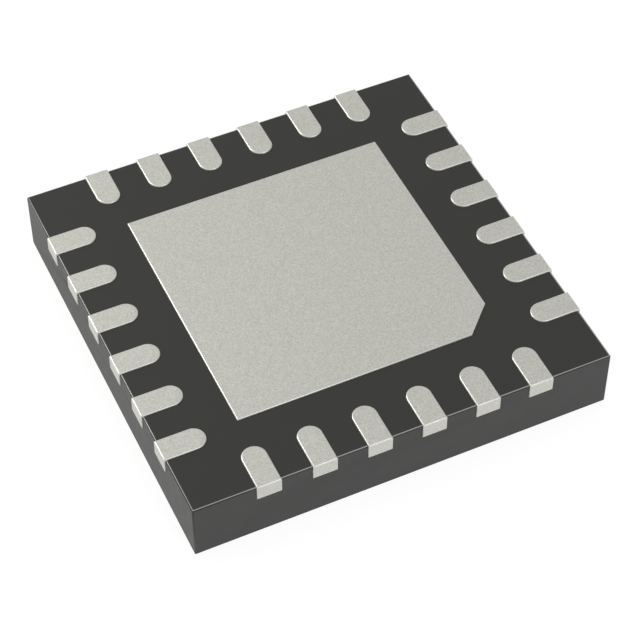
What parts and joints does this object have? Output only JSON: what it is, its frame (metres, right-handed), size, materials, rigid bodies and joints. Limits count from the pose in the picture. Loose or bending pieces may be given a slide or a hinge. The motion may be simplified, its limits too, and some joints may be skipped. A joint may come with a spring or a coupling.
{
  "type": "quad flat no-lead chip package",
  "caption": "Square surface-mount chip in a black moulded body, with flat terminals round its edge and a chamfered thermal pad on the solder side.",
  "frame": {"origin": "centre of the marking face, which the package rests on", "axes": "+Z out of the solder side, +X and -Y towards pin one's corner, sides of the body along X and Y"},
  "size_m": [0.005, 0.005, 0.0008],
  "materials": {
    "mold_compound": "matte",
    "tin_plate": "matte tin plate",
    "die_glue": "silver-filled epoxy",
    "silicon": "polished",
    "gold": "drawn wire"
  },
  "bodies": {
    "root": {"mold_body": "mold_compound", "exposed_pad": "tin_plate", "die_attach": "die_glue", "silicon_die": "silicon", "lead_01": "tin_plate", "lead_02": "tin_plate", "lead_03": "tin_plate", "lead_04": "tin_plate", "lead_05": "tin_plate", "lead_06": "tin_plate", "lead_07": "tin_plate", "lead_08": "tin_plate", "lead_09": "tin_plate", "lead_10": "tin_plate", "lead_11": "tin_plate", "lead_12": "tin_plate", "lead_13": "tin_plate", "lead_14": "tin_plate", "lead_15": "tin_plate", "lead_16": "tin_plate", "lead_17": "tin_plate", "lead_18": "tin_plate", "lead_19": "tin_plate", "lead_20": "tin_plate", "lead_21": "tin_plate", "lead_22": "tin_plate", "lead_23": "tin_plate", "lead_24": "tin_plate", "bond_wire_01": "gold", "bond_wire_02": "gold", "bond_wire_03": "gold", "bond_wire_04": "gold", "bond_wire_05": "gold", "bond_wire_06": "gold", "bond_wire_07": "gold", "bond_wire_08": "gold", "bond_wire_09": "gold", "bond_wire_10": "gold", "bond_wire_11": "gold", "bond_wire_12": "gold", "bond_wire_13": "gold", "bond_wire_14": "gold", "bond_wire_15": "gold", "bond_wire_16": "gold", "bond_wire_17": "gold", "bond_wire_18": "gold", "bond_wire_19": "gold", "bond_wire_20": "gold", "bond_wire_21": "gold", "bond_wire_22": "gold", "bond_wire_23": "gold", "bond_wire_24": "gold"}
  },
  "joints": []
}
